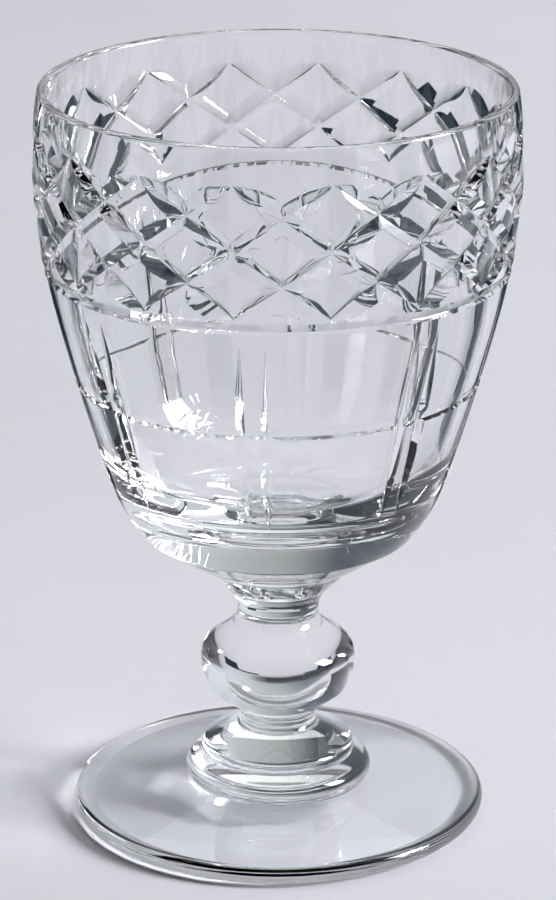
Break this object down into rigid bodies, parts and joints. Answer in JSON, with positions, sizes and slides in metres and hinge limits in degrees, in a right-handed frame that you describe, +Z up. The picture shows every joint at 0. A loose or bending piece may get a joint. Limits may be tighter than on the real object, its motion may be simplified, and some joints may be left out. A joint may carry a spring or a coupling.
{
  "type": "water goblet",
  "caption": "Clear cut-glass water goblet: a tapering bowl with a band of cut diamonds, rings and upright cuts, on a short stem with a ball knop, a stepped button and a round foot.",
  "frame": {"origin": "centre of the flat ring that the foot stands on, on the goblet's own axis", "axes": "+Z up along the axis from the foot to the rim, -Y towards the front of the pictured view, +X to its right"},
  "size_m": [0.0886, 0.0886, 0.14],
  "materials": {
    "clear_glass": "polished"
  },
  "bodies": {
    "root": {"bowl": "clear_glass", "collar": "clear_glass", "ball_knop": "clear_glass", "waist": "clear_glass", "upper_button": "clear_glass", "lower_button": "clear_glass", "foot": "clear_glass"}
  },
  "joints": []
}
